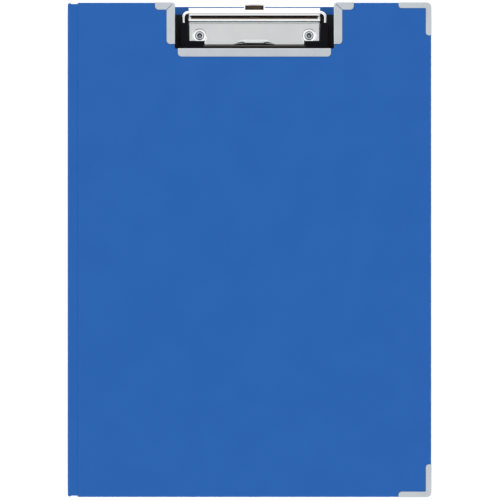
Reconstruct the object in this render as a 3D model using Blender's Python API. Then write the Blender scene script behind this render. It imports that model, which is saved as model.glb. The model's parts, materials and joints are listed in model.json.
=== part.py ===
"""Covered clip file: a cloth-covered back board with a lever clip, a spine and a hinged front cover.

Frame: metres, +Z up. The file lies closed on its back board, the clip end points to +Y and the
spine is at -X. The origin is under the middle of the file. Lengths below are in millimetres.
"""

import math

import bmesh
import bpy
from mathutils import Matrix, Vector

MM = 0.001
GAP = 0.05  # clearance between pieces that are glued or pressed together

# Overall envelope
HALF_WIDTH = 117.0  # spine face and guards, from the middle
HALF_LENGTH = 159.0  # guards, from the middle
BOARD_THICK = 2.6  # one covered board
FACE_TO_FACE = 15.2  # outer cloth face to outer cloth face
FRONT_Z = FACE_TO_FACE - BOARD_THICK  # inner face of the closed cover

# Covering materials
CLOTH = 0.3
LINING = 0.3
TURN_IN = 5.1  # width of cloth folded over onto the inner face
GUARD = 0.3  # sheet of the metal edge guards
GUARD_OUT = GUARD + GAP

# Boards
BOARD_LEFT = -110.4
BOARD_RIGHT = HALF_WIDTH - GUARD_OUT
BOARD_HALF = HALF_LENGTH - GUARD_OUT
CORNER_R = 3.0
CENTRE_X = (BOARD_LEFT + BOARD_RIGHT) / 2  # the clip and the notch are centred on the board

# Spine and its two cloth hinges
SPINE_THICK = 2.2
SPINE_LOW = 0.9
SPINE_HIGH = FACE_TO_FACE - SPINE_LOW
HINGE_X = -116.6
BACK_HINGE_Z = 0.4
FRONT_HINGE_Z = FACE_TO_FACE - BACK_HINGE_Z
HINGE_THICK = 0.6
HINGE_INSET = 0.8  # the bare hinge cloth is a little shorter than the boards

# Notch in the cover
NOTCH_HALF = 51.35
NOTCH_FLOOR = 129.05
NOTCH_R = 1.5

# Edge guards: widths and arm lengths seen from above
CORNER_ARM = 21.4
CORNER_WIDE = 3.9
NOTCH_ARM_X = 12.7
NOTCH_WIDE_X = 5.3
NOTCH_ARM_Y = 26.9
NOTCH_WIDE_Y = 4.9
STRIP_HALF = 49.1
STRIP_WIDE = 5.4

# Clip: positions along Y, heights along Z
PLATE_SHEET = 0.6
PLATE_HALF = 42.5
PLATE_FRONT = 133.25
PLATE_TOP = 4.4
PIVOT_Y = 149.9
PIVOT_Z = 6.4
PIN_R = 0.9
ROLL_R = 2.4  # outside of the hooked roll over the pin
ROLL_END = 101  # the roll stops at its crest, in degrees
ROLL_HALF = 41.2
RIVET_X = 35.65
RIVET_Y = 139.6
SHANK_R = 2.0
HEAD_R = 3.9
HEAD_TOP = 0.7
DIMPLE_R = 4.8
CORNER_CUT_Y = 136.15  # the plate's corners are cut away for the sleeves
WIRE_R = 1.0
WIRE_HALF = 46.0
WIRE_TOP = (153.9, 7.4)  # top bar of the wire, inside the lever's curl
WIRE_LOW = (132.15, 4.7)  # clamping bar
EAR_OUT = 42.4
CURL_R = 1.65  # middle of the lever's sheet where it curls round the wire
LEVER_SLOPE = math.radians(36)
FLANGE_TOP = 3.8  # distances up the flange's slope
HEM_R = 0.45  # the tab is folded back into a rear leaf
HEM_TOP = 6.0
HEM_LOW = 2.6
SLOT_LOW = 2.75
SLOT_TOP = 5.95
TAB_HALF = 6.7
SLOT_HALF = 5.95
SLEEVE_OUT = 48.3
SLEEVE_IN = 42.95
SLEEVE_END = 32.7
SLEEVE_TOP = 15.4  # distance up the wire from the clamping bar
SLEEVE_HALF_THICK = 1.6


# Points and outlines


def arc(centre, radius, start, end, steps):
    """Points on an arc, angles in degrees."""
    points = []
    for i in range(steps + 1):
        a = math.radians(start + (end - start) * i / steps)
        points.append((centre[0] + radius * math.cos(a), centre[1] + radius * math.sin(a)))
    return points


def rounded(corners, steps=5):
    """An outline through (x, y, radius) corners, each rounded by its radius."""
    outline = []
    count = len(corners)
    for i, (x, y, radius) in enumerate(corners):
        here = Vector((x, y))
        if radius <= 0:
            outline.append((x, y))
            continue
        before = (Vector(corners[i - 1][:2]) - here).normalized()
        after = (Vector(corners[(i + 1) % count][:2]) - here).normalized()
        half = before.angle(after) / 2
        centre = here + (before + after).normalized() * (radius / math.sin(half))
        first = here + before * (radius / math.tan(half)) - centre
        last = here + after * (radius / math.tan(half)) - centre
        turn = math.atan2(first.x * last.y - first.y * last.x, first.dot(last))
        begin = math.atan2(first.y, first.x)
        outline += arc(centre, radius, math.degrees(begin), math.degrees(begin + turn), steps)
    return outline


def sheet_section(path, thickness):
    """The closed section of a sheet of even thickness whose middle follows the path."""
    left, right = [], []
    for i, point in enumerate(path):
        here = Vector(point)
        ahead = Vector(path[min(i + 1, len(path) - 1)]) - here
        behind = here - Vector(path[max(i - 1, 0)])
        a = ahead.normalized() if ahead.length else behind.normalized()
        b = behind.normalized() if behind.length else a
        along = (a + b).normalized()
        side = Vector((-along.y, along.x)) * (thickness / 2 / max(along.dot(a), 0.5))
        left.append(tuple(here + side))
        right.append(tuple(here - side))
    return left + right[::-1]


# Meshes


def mesh_from(bm, name):
    bmesh.ops.remove_doubles(bm, verts=bm.verts, dist=1e-7)
    bmesh.ops.recalc_face_normals(bm, faces=bm.faces)
    mesh = bpy.data.meshes.new(name)
    bm.to_mesh(mesh)
    bm.free()
    return mesh


def prism(outline, low, high, axis="Z"):
    """An outline extruded from low to high: (x, y) along Z, or (y, z) along X."""
    bm = bmesh.new()
    place = (lambda u, v: (u, v, low)) if axis == "Z" else (lambda u, v: (low, u, v))
    verts = [bm.verts.new(Vector(place(u, v)) * MM) for u, v in outline]
    face = bm.faces.new(verts)
    reach = Vector((0, 0, high - low)) if axis == "Z" else Vector((high - low, 0, 0))
    grown = bmesh.ops.extrude_face_region(bm, geom=[face])["geom"]
    moved = [item for item in grown if isinstance(item, bmesh.types.BMVert)]
    bmesh.ops.translate(bm, verts=moved, vec=reach * MM)
    bmesh.ops.triangulate(bm, faces=[f for f in bm.faces if len(f.verts) > 4])
    return mesh_from(bm, "prism")


def box(x0, x1, y0, y1, z0, z1):
    return prism([(x0, y0), (x1, y0), (x1, y1), (x0, y1)], z0, z1)


def turned(profile, x, y, steps=32):
    """A closed (radius, z) profile spun about a vertical axis at (x, y)."""
    bm = bmesh.new()
    verts = [bm.verts.new(Vector((r, 0, z)) * MM) for r, z in profile]
    edges = [bm.edges.new((verts[i - 1], verts[i])) for i in range(1, len(verts))]
    if profile[0][0] > 0 or profile[-1][0] > 0:
        edges.append(bm.edges.new((verts[-1], verts[0])))
    bmesh.ops.spin(
        bm, geom=verts + edges, cent=(0, 0, 0), axis=(0, 0, 1), angle=math.tau,
        steps=steps, use_merge=True, use_duplicate=False,
    )
    bmesh.ops.translate(bm, verts=bm.verts, vec=Vector((x, y, 0)) * MM)
    return mesh_from(bm, "turned")


def rod(radius, x0, x1, y, z, steps=20):
    """A round bar along X."""
    return prism(arc((y, z), radius, 0, 360 * (steps - 1) / steps, steps - 1), x0, x1, "X")


def tube(points, radius, cyclic, resolution=2):
    """A round wire through the points."""
    curve = bpy.data.curves.new("wire_path", "CURVE")
    curve.dimensions = "3D"
    spline = curve.splines.new("POLY")
    spline.points.add(len(points) - 1)
    for target, point in zip(spline.points, points):
        target.co = (*(Vector(point) * MM), 1)
    spline.use_cyclic_u = cyclic
    curve.bevel_depth = radius * MM
    curve.bevel_resolution = resolution
    curve.use_fill_caps = not cyclic
    holder = bpy.data.objects.new("wire_path", curve)
    bpy.context.scene.collection.objects.link(holder)
    bpy.context.view_layer.update()
    made = bpy.data.meshes.new_from_object(holder.evaluated_get(bpy.context.evaluated_depsgraph_get()))
    bpy.data.objects.remove(holder)
    bm = bmesh.new()
    bm.from_mesh(made)
    return mesh_from(bm, "wire")


def combine(mesh, changes):
    """The mesh after Boolean steps, each a pair of operation and mesh."""
    scene = bpy.context.scene.collection
    body = bpy.data.objects.new("body", mesh)
    scene.objects.link(body)
    tools = []
    for operation, other in changes:
        tool = bpy.data.objects.new("tool", other)
        scene.objects.link(tool)
        tools.append(tool)
        step = body.modifiers.new(operation.lower(), "BOOLEAN")
        step.operation = operation
        step.solver = "EXACT"
        step.object = tool
    bpy.context.view_layer.update()
    result = bpy.data.meshes.new_from_object(body.evaluated_get(bpy.context.evaluated_depsgraph_get()))
    for item in [body, *tools]:
        bpy.data.objects.remove(item)
    return result


# Objects and materials


def material(name, colour, roughness, metallic=0.0):
    made = bpy.data.materials.get(name) or bpy.data.materials.new(name)
    made.use_nodes = True
    shader = made.node_tree.nodes["Principled BSDF"]
    shader.inputs["Base Color"].default_value = (*colour, 1)
    shader.inputs["Roughness"].default_value = roughness
    shader.inputs["Metallic"].default_value = metallic
    return made


def finish_of(kind):
    finishes = {
        "cloth": ((0.027, 0.125, 0.43), 0.5, 0.0),
        "lining": ((0.012, 0.012, 0.014), 0.6, 0.0),
        "greyboard": ((0.42, 0.38, 0.32), 0.9, 0.0),
        "guard_steel": ((0.55, 0.57, 0.6), 0.35, 1.0),
        "nickel": ((0.66, 0.67, 0.68), 0.25, 1.0),
        "chrome": ((0.75, 0.76, 0.78), 0.08, 1.0),
        "black_plastic": ((0.012, 0.012, 0.014), 0.35, 0.0),
        "spring_steel": ((0.2, 0.14, 0.09), 0.35, 1.0),
    }
    return material(kind, *finishes[kind])


def add(name, mesh, kind, parent, smooth=False):
    """Puts a mesh given in world space into the scene, with its origin on its parent's."""
    mesh.name = name
    mesh.transform(Matrix.Translation(-parent.location))
    mesh.materials.clear()
    mesh.materials.append(finish_of(kind))
    if smooth:
        mesh.shade_smooth()
        mesh.set_sharp_from_angle(angle=math.radians(35))
    made = bpy.data.objects.new(name, mesh)
    bpy.context.scene.collection.objects.link(made)
    made.parent = parent
    return made


def pivot(name, x, y, z):
    made = bpy.data.objects.new(name, None)
    made.location = Vector((x, y, z)) * MM
    bpy.context.scene.collection.objects.link(made)
    return made


# Boards


def board_outline(inset=0.0, notch=None, radius=CORNER_R):
    """The outline of a board drawn in by inset. notch is how far to narrow the clip notch."""
    left, right = BOARD_LEFT + inset, BOARD_RIGHT - inset
    half = BOARD_HALF - inset
    near_r = 0.4 if radius else 0
    corners = [(left, -half, near_r), (right, -half, max(radius - inset, 0))]
    corners.append((right, half, max(radius - inset, 0)))
    if notch is not None:
        reach, floor = NOTCH_HALF - notch, NOTCH_FLOOR + notch
        corners += [(CENTRE_X + reach, half, 0), (CENTRE_X + reach, floor, NOTCH_R)]
        corners += [(CENTRE_X - reach, floor, NOTCH_R), (CENTRE_X - reach, half, 0)]
    return rounded([*corners, (left, half, near_r)])


def layer(outer, facing, start, end):
    """Heights of a layer that lies start to end deep under a board's outer face."""
    return sorted((outer + facing * start, outer + facing * end))


def board_set(prefix, outer, facing, notch, cuts, parent):
    """Greyboard, cloth with turned-in edges, and lining of one board.

    facing is 1 where the inner face looks up. cuts are (mesh, cloth only) pairs to take out.
    """
    deep = BOARD_THICK
    pocket = prism(board_outline(CLOTH), *layer(outer, facing, CLOTH, deep - CLOTH))
    window = prism(board_outline(TURN_IN, radius=0), *layer(outer, facing, deep - CLOTH - 0.1, deep + 1))
    board = prism(board_outline(CLOTH + GAP, notch), *layer(outer, facing, CLOTH + GAP, deep - CLOTH - GAP))
    cloth = prism(board_outline(0, notch), *layer(outer, facing, 0, deep))
    lining = prism(board_outline(TURN_IN + GAP, notch, 0), *layer(outer, facing, deep - LINING, deep))
    through = [("DIFFERENCE", mesh) for mesh, cloth_only in cuts if not cloth_only]
    every = [("DIFFERENCE", mesh) for mesh, _ in cuts]
    add(f"{prefix}_board", combine(board, through), "greyboard", parent)
    cloth_steps = [("DIFFERENCE", pocket), ("DIFFERENCE", window), *every]
    add(f"{prefix}_cloth", combine(cloth, cloth_steps), "cloth", parent)
    add(f"{prefix}_lining", combine(lining, through), "lining", parent)


def corner_guard_outline(top, grow=0.0):
    """The L of an outer corner guard. top is 1 at the clip end and -1 at the foot."""
    x, y, arm, wide = HALF_WIDTH, HALF_LENGTH, CORNER_ARM, CORNER_WIDE
    corners = [
        (x - arm - grow, y - wide - grow, 1.7), (x - arm - grow, y + grow, 0.4),
        (x + grow, y + grow, CORNER_R + GUARD_OUT), (x + grow, y - arm - grow, 0.4),
        (x - wide - grow, y - arm - grow, 1.7), (x - wide - grow, y - wide - grow, 0.6),
    ]
    return rounded([(u, top * v, r) for u, v, r in corners])


def notch_guard_outline(side):
    """The L over a notch corner. side is -1 on the left and 1 on the right."""
    x, y = NOTCH_HALF - GUARD_OUT, HALF_LENGTH
    corners = [
        (x, y, 1.7), (x + NOTCH_ARM_X, y, 0.4), (x + NOTCH_ARM_X, y - NOTCH_WIDE_Y, 2.0),
        (x + NOTCH_WIDE_X, y - NOTCH_WIDE_Y, 0), (x + NOTCH_WIDE_X, y - NOTCH_ARM_Y, 2.1),
        (x, y - NOTCH_ARM_Y, 0.4),
    ]
    return rounded([(CENTRE_X + side * u, v, r) for u, v, r in corners])


def notch_strip_outline():
    high = NOTCH_FLOOR + GUARD_OUT
    low = high - STRIP_WIDE
    left, right = CENTRE_X - STRIP_HALF, CENTRE_X + STRIP_HALF
    return rounded([(left, high, 0.6), (left, low, 2.4), (right, low, 2.4), (right, high, 0.6)])


def make_back(parent):
    cuts = []
    for side in (-1, 1):
        x = CENTRE_X + side * RIVET_X
        hole = turned([(0, -1), (HEAD_R + GAP, -1), (HEAD_R + GAP, HEAD_TOP + GAP),
                       (SHANK_R + GAP, HEAD_TOP + GAP), (SHANK_R + GAP, 4), (0, 4)], x, RIVET_Y)
        cuts.append((hole, False))
    for top in (-1, 1):
        cuts.append((prism(corner_guard_outline(top, GAP), -1, CLOTH + GAP), True))
    board_set("back", 0, 1, None, cuts, parent)
    slab = prism(board_outline(-GAP), CLOTH, BOARD_THICK + GAP)
    for top, name in ((1, "back_guard_top"), (-1, "back_guard_bottom")):
        shell = prism(corner_guard_outline(top), 0, BOARD_THICK + GUARD_OUT)
        add(name, combine(shell, [("DIFFERENCE", slab)]), "guard_steel", parent)
    add("back_hinge_strip", hinge_strip(0.05), "cloth", parent)


def make_cover(parent):
    board_set("cover", FACE_TO_FACE, -1, 0.0, [], parent)
    low, high = FRONT_Z - GUARD_OUT, FACE_TO_FACE + GUARD_OUT
    slab = prism(board_outline(-GAP, GAP), FRONT_Z - GAP, FACE_TO_FACE + GAP)
    outlines = {
        "cover_guard_top": corner_guard_outline(1),
        "cover_guard_bottom": corner_guard_outline(-1),
        "notch_guard_left": notch_guard_outline(-1),
        "notch_guard_right": notch_guard_outline(1),
        "notch_edge_strip": notch_strip_outline(),
    }
    for name, outline in outlines.items():
        add(name, combine(prism(outline, low, high), [("DIFFERENCE", slab)]), "guard_steel", parent)
    add("cover_hinge_strip", hinge_strip(FACE_TO_FACE - HINGE_THICK - 0.05), "cloth", parent)


def hinge_strip(low):
    """The bare cloth that bends between a board and the spine."""
    half = BOARD_HALF - HINGE_INSET
    return box(HINGE_X + 0.5, BOARD_LEFT - 0.3, -half, half, low, low + HINGE_THICK)


def make_spine(parent):
    """The spine's board, its cloth with turned-in edges, and its lining."""
    left, right = -HALF_WIDTH, -HALF_WIDTH + SPINE_THICK
    half, edge = BOARD_HALF, BOARD_HALF - TURN_IN
    inside = (left + CLOTH, right - CLOTH)
    pocket = box(*inside, -half + CLOTH, half - CLOTH, SPINE_LOW + CLOTH, SPINE_HIGH - CLOTH)
    window = box(right - CLOTH - 0.1, right + 1, -edge, edge, SPINE_LOW + 2, SPINE_HIGH - 2)
    cloth = combine(
        box(left, right, -half, half, SPINE_LOW, SPINE_HIGH),
        [("DIFFERENCE", pocket), ("DIFFERENCE", window)],
    )
    shrink = CLOTH + GAP
    board = box(
        inside[0] + GAP, inside[1] - GAP, -half + shrink, half - shrink,
        SPINE_LOW + shrink, SPINE_HIGH - shrink,
    )
    lining = box(
        right - CLOTH, right, -edge + GAP, edge - GAP, SPINE_LOW + 2 + GAP, SPINE_HIGH - 2 - GAP,
    )
    add("spine_board", board, "greyboard", parent)
    add("spine_cloth", cloth, "cloth", parent)
    add("spine_lining", lining, "lining", parent)


# Clip


def dimple(x):
    """The cup pressed into the base plate under a rivet."""
    floor = BOARD_THICK + GAP
    top, under = PLATE_TOP - 0.05, PLATE_TOP - PLATE_SHEET + 0.05
    profile = [
        (SHANK_R + GAP, floor), (3.6, floor), (DIMPLE_R + 0.1, under), (DIMPLE_R + 0.1, top),
        (DIMPLE_R - 0.2, top), (3.4, floor + PLATE_SHEET), (SHANK_R + GAP, floor + PLATE_SHEET),
    ]
    return turned(profile, x, RIVET_Y)


def make_base_plate(parent):
    """One stamped sheet: front lip, flat with two rivet cups, and the hooked roll over the hinge pin."""
    half_sheet = PLATE_SHEET / 2
    foot = BOARD_THICK + 0.35
    wall, level, bend = PLATE_FRONT + half_sheet, PLATE_TOP - half_sheet, 0.8
    mid_roll = ROLL_R - half_sheet
    path = [(wall, foot), *arc((wall + bend, level - bend), bend, 180, 90, 4)]
    path += arc((PIVOT_Y - mid_roll - bend, level + bend), bend, -90, 0, 4)
    path += arc((PIVOT_Y, PIVOT_Z), mid_roll, 180, ROLL_END, 8)
    sheet = prism(sheet_section(path, PLATE_SHEET), CENTRE_X - PLATE_HALF, CENTRE_X + PLATE_HALF, "X")
    bow = [(-13.6, 132), (13.6, 132), (13.6, 133.2), (4.9, 135.0), (-4.9, 135.0), (-13.6, 133.2)]
    steps = [("DIFFERENCE", prism([(CENTRE_X + u, v) for u, v in bow], 2, 6))]
    for side in (-1, 1):
        x = CENTRE_X + side * RIVET_X
        steps.append(("DIFFERENCE", turned([(0, 2), (DIMPLE_R, 2), (DIMPLE_R, 6), (0, 6)], x, RIVET_Y)))
        steps.append(("UNION", dimple(x)))
        a, b = sorted(CENTRE_X + side * v for v in (PLATE_HALF - PLATE_SHEET - GAP, PLATE_HALF - GAP))
        steps.append(("UNION", box(a, b, CORNER_CUT_Y + 0.1, PIVOT_Y - 3.5, foot, level + 0.1)))
        a, b = sorted(CENTRE_X + side * v for v in (ROLL_HALF - 0.8, ROLL_HALF))
        steps.append(("UNION", rod(ROLL_R - 0.4, a, b, PIVOT_Y, PIVOT_Z)))
        a, b = sorted(CENTRE_X + side * v for v in (ROLL_HALF, PLATE_HALF + 1))
        steps.append(("DIFFERENCE", box(a, b, PIVOT_Y - 2.9, PIVOT_Y + 4, 2, 12)))
        a, b = sorted(CENTRE_X + side * v for v in (SLEEVE_END - 0.3, PLATE_HALF + 1))
        steps.append(("DIFFERENCE", box(a, b, 130, CORNER_CUT_Y, 2, 6)))
    bore = rod(PIN_R + GAP, CENTRE_X - PLATE_HALF - 1, CENTRE_X + PLATE_HALF + 1, PIVOT_Y, PIVOT_Z)
    steps.append(("DIFFERENCE", bore))
    add("clip_base_plate", combine(sheet, steps), "nickel", parent, smooth=True)


def make_rivet(name, x, parent):
    """A half-hollow rivet: flat head under the board, rolled rim in the plate's cup."""
    seat = BOARD_THICK + PLATE_SHEET + 2 * GAP
    profile = [
        (0, 0.05), (HEAD_R, 0.05), (HEAD_R, HEAD_TOP), (SHANK_R, HEAD_TOP), (SHANK_R, seat),
        (2.9, seat), (2.9, seat + 0.35), (2.45, seat + 0.75), (1.85, seat + 0.75),
        (1.45, seat + 0.3), (1.45, 1.6), (0, 1.6),
    ]
    add(name, turned(profile, x, RIVET_Y), "nickel", parent, smooth=True)


def make_pin(parent):
    reach = EAR_OUT + GAP
    shaft = rod(PIN_R, CENTRE_X - reach - 0.2, CENTRE_X + reach + 0.2, PIVOT_Y, PIVOT_Z)
    heads = []
    for side in (-1, 1):
        a, b = sorted(CENTRE_X + side * v for v in (reach, reach + 0.5))
        heads.append(("UNION", rod(1.4, a, b, PIVOT_Y, PIVOT_Z)))
    add("hinge_pin", combine(shaft, heads), "spring_steel", parent, smooth=True)


def make_spring(parent):
    """A torsion spring on the pin: one leg stands on the board, one lifts the lever's curl."""
    radius, half, turns, per_turn = 1.35, 3.0, 8.75, 12
    points = [(CENTRE_X - half, PIVOT_Y + radius, BOARD_THICK + 0.4)]
    count = int(turns * per_turn)
    for i in range(count + 1):
        a = math.tau * turns * i / count
        x = CENTRE_X - half + 2 * half * i / count
        points.append((x, PIVOT_Y + radius * math.cos(a), PIVOT_Z + radius * math.sin(a)))
    points.append((CENTRE_X + half, WIRE_TOP[0] + 0.6, PIVOT_Z - radius - 0.1))
    add("clip_spring", tube(points, 0.22, False, 1), "spring_steel", parent, smooth=True)


def lever_point(along, off=0.0):
    """A point on the lever's flange: along is up its slope from the curl, off is across it."""
    up = Vector((math.cos(LEVER_SLOPE), math.sin(LEVER_SLOPE)))
    across = Vector((up.y, -up.x))
    foot = Vector(WIRE_TOP) - across * CURL_R
    return tuple(foot + up * along + across * off)


def make_lever(parent):
    """A sheet curled round the wire, with a finger flange, a folded slotted tab and two ears on the pin."""
    slope = math.degrees(LEVER_SLOPE)
    path = [lever_point(HEM_LOW, 2 * HEM_R)]
    path += arc(lever_point(HEM_TOP, HEM_R), HEM_R, slope - 90, slope + 90, 6)
    path += arc(WIRE_TOP, CURL_R, slope + 90, 330, 14)
    left, right = CENTRE_X - EAR_OUT, CENTRE_X + EAR_OUT
    sheet = prism(sheet_section(path, PLATE_SHEET), left, right, "X")
    waste = [(FLANGE_TOP, -2), (FLANGE_TOP, 0.5), (HEM_LOW - 1, 0.5), (HEM_LOW - 1, 3), (9, 3), (9, -2)]
    waste = [lever_point(along, off) for along, off in waste]
    slot = [(SLOT_LOW, -2), (SLOT_LOW, 0.5), (SLOT_TOP, 0.5), (SLOT_TOP, -2)]
    slot = [lever_point(along, off) for along, off in slot]
    lean = math.degrees(math.atan2(WIRE_TOP[1] - PIVOT_Z, WIRE_TOP[0] - PIVOT_Y))
    ear_r, end_r = 1.9, CURL_R + PLATE_SHEET / 2
    distance = math.hypot(WIRE_TOP[1] - PIVOT_Z, WIRE_TOP[0] - PIVOT_Y)
    turn = math.degrees(math.acos((ear_r - end_r) / distance))
    ear = arc((PIVOT_Y, PIVOT_Z), ear_r, lean + turn, lean + 360 - turn, 14)
    ear += arc(WIRE_TOP, end_r, lean - turn, lean + turn, 8)
    steps = [("DIFFERENCE", prism(slot, CENTRE_X - SLOT_HALF, CENTRE_X + SLOT_HALF, "X"))]
    for side in (-1, 1):
        a, b = sorted(CENTRE_X + side * v for v in (TAB_HALF, EAR_OUT + 1))
        steps.append(("DIFFERENCE", prism(waste, a, b, "X")))
        a, b = sorted(CENTRE_X + side * v for v in (EAR_OUT - 0.8, EAR_OUT))
        steps.append(("UNION", prism(ear, a, b, "X")))
    for radius, (y, z) in ((PIN_R, (PIVOT_Y, PIVOT_Z)), (WIRE_R, WIRE_TOP)):
        steps.append(("DIFFERENCE", rod(radius + GAP, left - 1, right + 1, y, z)))
    add("lever_plate", combine(sheet, steps), "chrome", parent, smooth=True)


def clamp_frame():
    """From the clamp's own plane (x, along the arms, across) to world space."""
    rise, run = WIRE_TOP[1] - WIRE_LOW[1], WIRE_TOP[0] - WIRE_LOW[0]
    place = Matrix.Translation(Vector((CENTRE_X, *WIRE_LOW)) * MM)
    return place @ Matrix.Rotation(math.atan2(rise, run), 4, "X"), math.hypot(rise, run)


def wire_mesh(radius):
    """The clamp wire's closed loop, in the clamp's own plane."""
    length = clamp_frame()[1]
    loop = rounded([
        (-WIRE_HALF, 0, 3), (WIRE_HALF, 0, 3), (WIRE_HALF, length, 3.2), (-WIRE_HALF, length, 3.2),
    ])
    return tube([(u, v, 0) for u, v in loop], radius, True)


def make_clamp(parent):
    frame = clamp_frame()[0]
    wire = wire_mesh(WIRE_R)
    wire.transform(frame)
    add("clamp_wire", wire, "chrome", parent, smooth=True)
    corners = [
        (SLEEVE_OUT, -1.4, 1.2), (SLEEVE_OUT, SLEEVE_TOP, 0.9), (SLEEVE_IN, SLEEVE_TOP, 0.4),
        (SLEEVE_IN, 3.6, 0.4), (SLEEVE_END, 3.6, 0.4), (SLEEVE_END, -1.4, 0.4),
    ]
    for side, name in ((-1, "corner_sleeve_left"), (1, "corner_sleeve_right")):
        outline = rounded([(side * u, v, r) for u, v, r in corners])
        block = prism(outline, -SLEEVE_HALF_THICK, SLEEVE_HALF_THICK)
        sleeve = combine(block, [("DIFFERENCE", wire_mesh(WIRE_R + GAP))])
        sleeve.transform(frame)
        add(name, sleeve, "black_plastic", parent)


def main():
    for old in list(bpy.data.objects):
        bpy.data.objects.remove(old)
    back = pivot("back_frame", 0, 0, 0)
    spine = pivot("spine_axis", HINGE_X, 0, BACK_HINGE_Z)
    cover = pivot("cover_axis", HINGE_X, 0, FRONT_HINGE_Z)
    lever = pivot("lever_axis", CENTRE_X, PIVOT_Y, PIVOT_Z)
    make_back(back)
    make_spine(spine)
    make_cover(cover)
    make_base_plate(back)
    make_rivet("clip_rivet_left", CENTRE_X - RIVET_X, back)
    make_rivet("clip_rivet_right", CENTRE_X + RIVET_X, back)
    make_pin(back)
    make_spring(back)
    make_lever(lever)
    make_clamp(lever)


main()
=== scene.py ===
import json
import math

import bmesh
import bpy
from mathutils import Matrix, Vector


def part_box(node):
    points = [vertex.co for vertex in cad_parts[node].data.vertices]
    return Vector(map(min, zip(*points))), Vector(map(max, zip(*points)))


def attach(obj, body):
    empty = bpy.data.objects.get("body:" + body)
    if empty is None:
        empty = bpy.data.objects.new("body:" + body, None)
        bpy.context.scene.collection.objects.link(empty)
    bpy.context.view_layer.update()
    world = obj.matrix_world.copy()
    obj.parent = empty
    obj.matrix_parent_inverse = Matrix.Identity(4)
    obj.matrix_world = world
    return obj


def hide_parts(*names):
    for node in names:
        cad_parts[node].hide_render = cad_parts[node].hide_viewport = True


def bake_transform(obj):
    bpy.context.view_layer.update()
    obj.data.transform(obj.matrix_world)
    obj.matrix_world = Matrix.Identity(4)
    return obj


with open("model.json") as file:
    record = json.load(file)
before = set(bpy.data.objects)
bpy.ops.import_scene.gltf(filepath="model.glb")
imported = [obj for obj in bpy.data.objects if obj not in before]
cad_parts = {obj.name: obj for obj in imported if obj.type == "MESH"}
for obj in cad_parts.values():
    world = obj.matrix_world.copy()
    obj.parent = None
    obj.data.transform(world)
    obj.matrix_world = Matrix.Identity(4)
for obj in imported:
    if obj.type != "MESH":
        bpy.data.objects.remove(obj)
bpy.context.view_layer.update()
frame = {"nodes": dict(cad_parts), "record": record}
mm = 0.001
bpy.context.scene.view_settings.view_transform = "Standard"


# Shader sums: a socket that can be added, multiplied and fed to other nodes

class Signal:
    def __init__(self, socket):
        self.socket = socket

    def node(self, kind, inputs, output=0, stops=None, **settings):
        tree = self.socket.id_data
        made = tree.nodes.new("ShaderNode" + kind)
        for name, value in settings.items():
            setattr(made, name, value)
        if stops:
            ramp = made.color_ramp
            while len(ramp.elements) < len(stops):
                ramp.elements.new(0.5)
            for element, (position, shade) in zip(ramp.elements, stops):
                element.position = position
                element.color = (shade, shade, shade, 1) if isinstance(shade, float) else (*shade, 1)
        for key, value in inputs.items():
            if isinstance(value, Signal):
                tree.links.new(value.socket, made.inputs[key])
            else:
                made.inputs[key].default_value = value
        return Signal(made.outputs[output])

    def other(self, name):  # another output of the same node
        return Signal(self.socket.node.outputs[name])

    def math(self, operation, a, b=0.0):
        return self.node("Math", {0: a, 1: b}, operation=operation)

    def __add__(self, other):
        return self.math("ADD", self, other)

    __radd__ = __add__

    def __sub__(self, other):
        return self.math("SUBTRACT", self, other)

    def __rsub__(self, other):
        return self.math("SUBTRACT", other, self)

    def __mul__(self, other):
        return self.math("MULTIPLY", self, other)

    __rmul__ = __mul__

    def __abs__(self):
        return self.math("ABSOLUTE", self)

    def above(self, low, high):  # 0 under low, 1 over high
        return self.node("MapRange", {0: self, 1: low, 2: high}, interpolation_type="SMOOTHSTEP")

    def part(self, letter):  # one coordinate of a place
        return self.node("SeparateXYZ", {0: self}).other(letter)

    def noise(self, size, detail=3.0, distortion=0.0):  # self is a place in metres, size is in millimetres
        inputs = {"Vector": self, "Scale": 1 / (size * mm), "Detail": detail, "Distortion": distortion}
        return self.node("TexNoise", inputs)

    def cells(self, size, feature="F1"):
        return self.node("TexVoronoi", {"Vector": self, "Scale": 1 / (size * mm)}, feature=feature)

    def stretched(self, x, y, z):
        return self.node("Mapping", {"Vector": self, "Scale": (x, y, z)})

    def tint(self, low, high):  # low colour where self is 0, high where it is 1
        return self.node("Mix", {0: self, 6: (*low, 1), 7: (*high, 1)}, output=2, data_type="RGBA")

    def paintedOver(self, base, colour):  # self is the mask, base a colour signal
        return self.node("Mix", {0: self, 6: base, 7: (*colour, 1)}, output=2, data_type="RGBA")


def newFinish(name, fixed):
    made = bpy.data.materials.new(name)
    made.use_nodes = True
    tree = made.node_tree
    shader = tree.nodes["Principled BSDF"]
    for key, value in fixed.items():
        shader.inputs[key].default_value = value
    place = Signal(tree.nodes.new("ShaderNodeTexCoord").outputs["Object"])
    return made, shader, place


def connect(shader, colour=None, roughness=None, height=None, depth=0.1, strength=1.0):
    tree = shader.id_data
    if colour is not None:
        tree.links.new(colour.socket, shader.inputs["Base Color"])
    if roughness is not None:
        tree.links.new(roughness.socket, shader.inputs["Roughness"])
    if height is not None:
        bumps = height.node("Bump", {"Strength": strength, "Distance": depth * mm, "Height": height})
        tree.links.new(bumps.socket, shader.inputs["Normal"])


clothLook = {
    "base": (0.0075, 0.0845, 0.319),
    "lighter": (0.0112, 0.0962, 0.349),
    "wornAndLighter": (0.050, 0.175, 0.50),
    "pebble": 0.75,  # grain size in millimetres
    "wornEdge": 1.2,
}


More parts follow.
